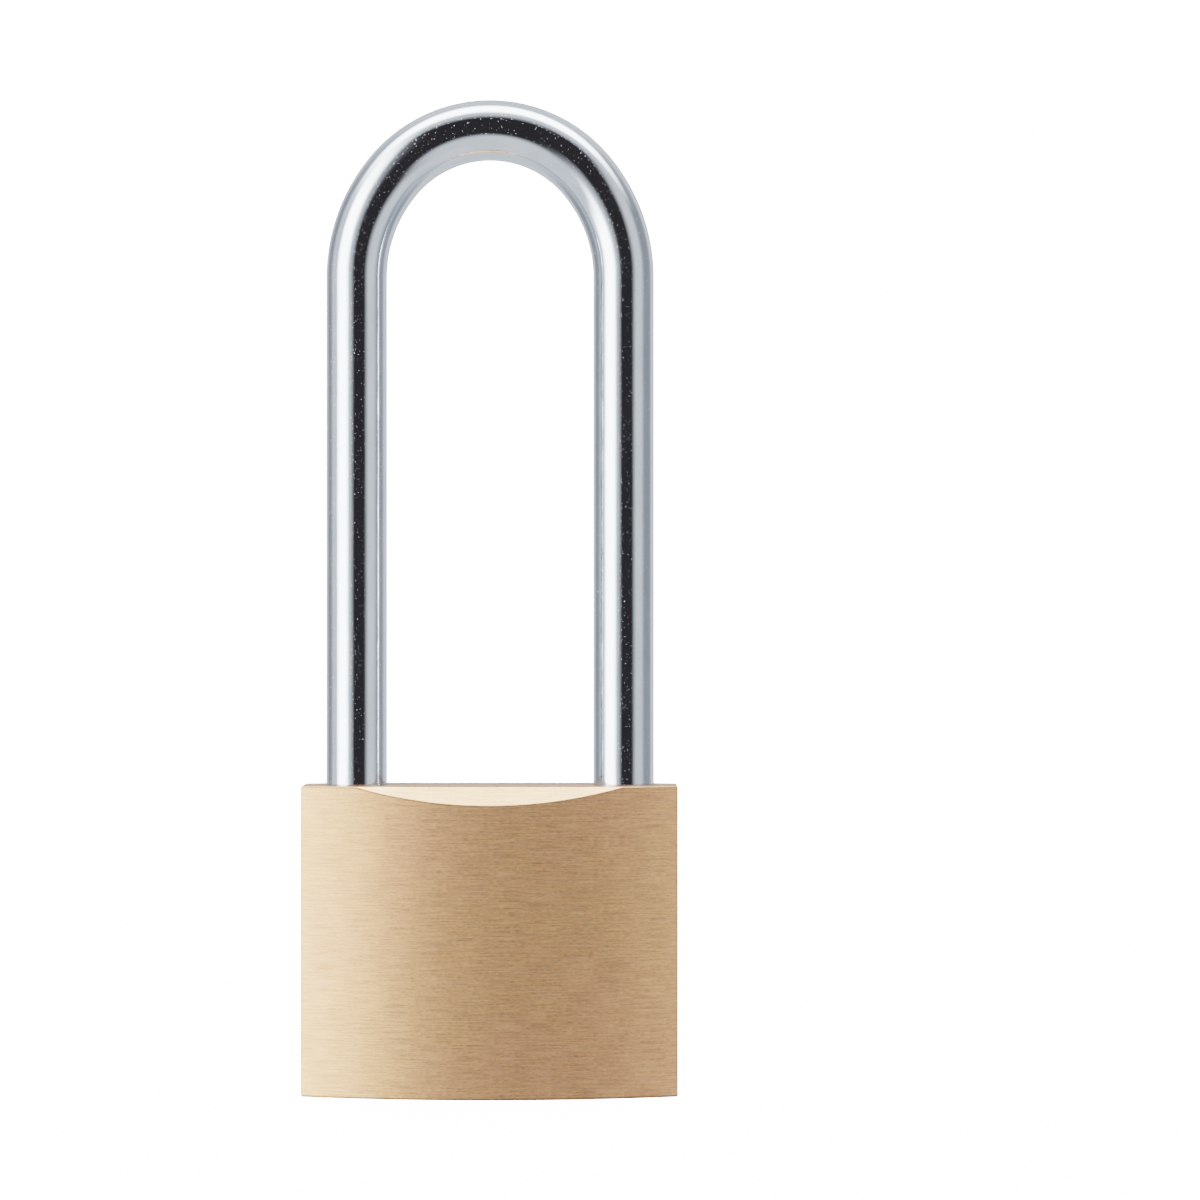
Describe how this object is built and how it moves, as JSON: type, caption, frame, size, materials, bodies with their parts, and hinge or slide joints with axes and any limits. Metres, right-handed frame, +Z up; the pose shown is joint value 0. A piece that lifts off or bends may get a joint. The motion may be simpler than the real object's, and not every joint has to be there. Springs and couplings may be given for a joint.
{
  "type": "padlock",
  "caption": "Long-shackle padlock: crowned brass body, tall bright shackle, key plug in the underside, pin tumblers and two sliding locking dogs.",
  "frame": {"origin": "middle of the underside of the body, where the lock stands", "axes": "+Z up along the shackle legs, +X to the heel leg, -Y to the front face"},
  "size_m": [0.04, 0.015, 0.1061],
  "materials": {
    "body_brass": "satin, brushed along X",
    "shackle_chrome": "bright plated, polished",
    "plug_brass": "fine turned",
    "pin_brass": "fine turned",
    "trim_brass": "ground flush",
    "dog_steel": "satin",
    "pin_steel": "satin",
    "spring_steel": "drawn wire"
  },
  "bodies": {
    "body": {"lock_body": "body_brass", "plug_retaining_pin": "pin_brass", "retainer_plug": "trim_brass", "dog_bore_plug": "trim_brass", "shackle_spring": "spring_steel", "shackle_retaining_pin": "pin_steel", "pin_spring_1": "spring_steel", "pin_spring_2": "spring_steel", "pin_spring_3": "spring_steel", "pin_spring_4": "spring_steel", "chamber_plug_1": "trim_brass", "chamber_plug_2": "trim_brass", "chamber_plug_3": "trim_brass", "chamber_plug_4": "trim_brass"},
    "shackle": {"shackle": "shackle_chrome"},
    "plug": {"plug": "plug_brass", "cam": "plug_brass"},
    "toe_dog": {"toe_dog": "dog_steel"},
    "heel_dog": {"heel_dog": "dog_steel"},
    "key_pin_1": {"key_pin_1": "pin_brass"},
    "driver_pin_1": {"driver_pin_1": "pin_brass"},
    "key_pin_2": {"key_pin_2": "pin_brass"},
    "driver_pin_2": {"driver_pin_2": "pin_brass"},
    "key_pin_3": {"key_pin_3": "pin_brass"},
    "driver_pin_3": {"driver_pin_3": "pin_brass"},
    "key_pin_4": {"key_pin_4": "pin_brass"},
    "driver_pin_4": {"driver_pin_4": "pin_brass"}
  },
  "joints": [
    {"name": "plug_turn", "type": "hinge", "parent": "body", "child": "plug", "pos_m": [0, 0, 0], "axis": [0, 0, 1], "range_deg": [0, 90]},
    {"name": "shackle_lift", "type": "slide", "parent": "body", "child": "shackle", "axis": [0, 0, 1], "range_m": [0, 0.0143], "deforming": ["shackle_spring"]},
    {"name": "toe_dog_slide", "type": "slide", "parent": "body", "child": "toe_dog", "axis": [1, 0, 0], "range_m": [-0.00283, 0]},
    {"name": "heel_dog_slide", "type": "slide", "parent": "body", "child": "heel_dog", "axis": [1, 0, 0], "range_m": [0, 0.00283]},
    {"name": "key_pin_1_drop", "type": "slide", "parent": "plug", "child": "key_pin_1", "axis": [0, -1, 0], "range_m": [0, 0.00055]},
    {"name": "driver_pin_1_slide", "type": "slide", "parent": "body", "child": "driver_pin_1", "axis": [-1, 0, 0], "range_m": [0, 0.0015], "stiffness_N_per_m": 60, "springref_m": -0.0005, "deforming": ["pin_spring_1"]},
    {"name": "key_pin_2_drop", "type": "slide", "parent": "plug", "child": "key_pin_2", "axis": [0, -1, 0], "range_m": [0, 0.00125]},
    {"name": "driver_pin_2_slide", "type": "slide", "parent": "body", "child": "driver_pin_2", "axis": [-1, 0, 0], "range_m": [0, 0.0015], "stiffness_N_per_m": 60, "springref_m": -0.0005, "deforming": ["pin_spring_2"]},
    {"name": "key_pin_3_drop", "type": "slide", "parent": "plug", "child": "key_pin_3", "axis": [0, -1, 0], "range_m": [0, 0.00085]},
    {"name": "driver_pin_3_slide", "type": "slide", "parent": "body", "child": "driver_pin_3", "axis": [-1, 0, 0], "range_m": [0, 0.0015], "stiffness_N_per_m": 60, "springref_m": -0.0005, "deforming": ["pin_spring_3"]},
    {"name": "key_pin_4_drop", "type": "slide", "parent": "plug", "child": "key_pin_4", "axis": [0, -1, 0], "range_m": [0, 0.00165]},
    {"name": "driver_pin_4_slide", "type": "slide", "parent": "body", "child": "driver_pin_4", "axis": [-1, 0, 0], "range_m": [0, 0.0015], "stiffness_N_per_m": 60, "springref_m": -0.0005, "deforming": ["pin_spring_4"]}
  ],
  "couplings": [
    {"joint": "toe_dog_slide", "follows": "plug_turn", "m_per_rad": -0.0018006},
    {"joint": "heel_dog_slide", "follows": "plug_turn", "m_per_rad": 0.0018006}
  ]
}
